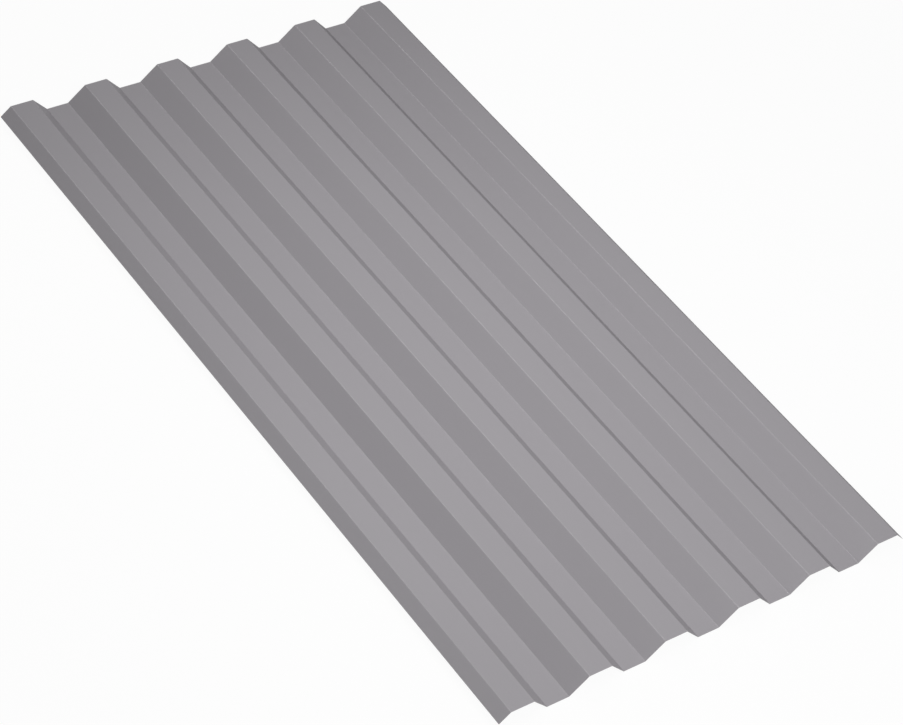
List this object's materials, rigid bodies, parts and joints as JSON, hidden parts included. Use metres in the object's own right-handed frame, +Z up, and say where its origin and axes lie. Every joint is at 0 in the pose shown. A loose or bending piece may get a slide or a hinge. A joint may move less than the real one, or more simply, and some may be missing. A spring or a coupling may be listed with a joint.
{
  "type": "corrugated metal sheet",
  "caption": "Trapezoidal ribbed steel roofing and walling sheet with flat crests and pans, sloped webs and a lapping lip along each long edge.",
  "frame": {"origin": "centre of the bounding box's bottom: on the floor plane that the undersides of the pans rest on, midway between the two long edges and the two cut ends", "axes": "+X across the ribs, +Y along the ribs (the length), +Z up from the pans to the crests"},
  "size_m": [1.0138, 1.8288, 0.0384],
  "materials": {
    "painted_steel": "semi-matt coil-coated grey"
  },
  "bodies": {
    "root": {"profiled_sheet": "painted_steel"}
  },
  "joints": []
}
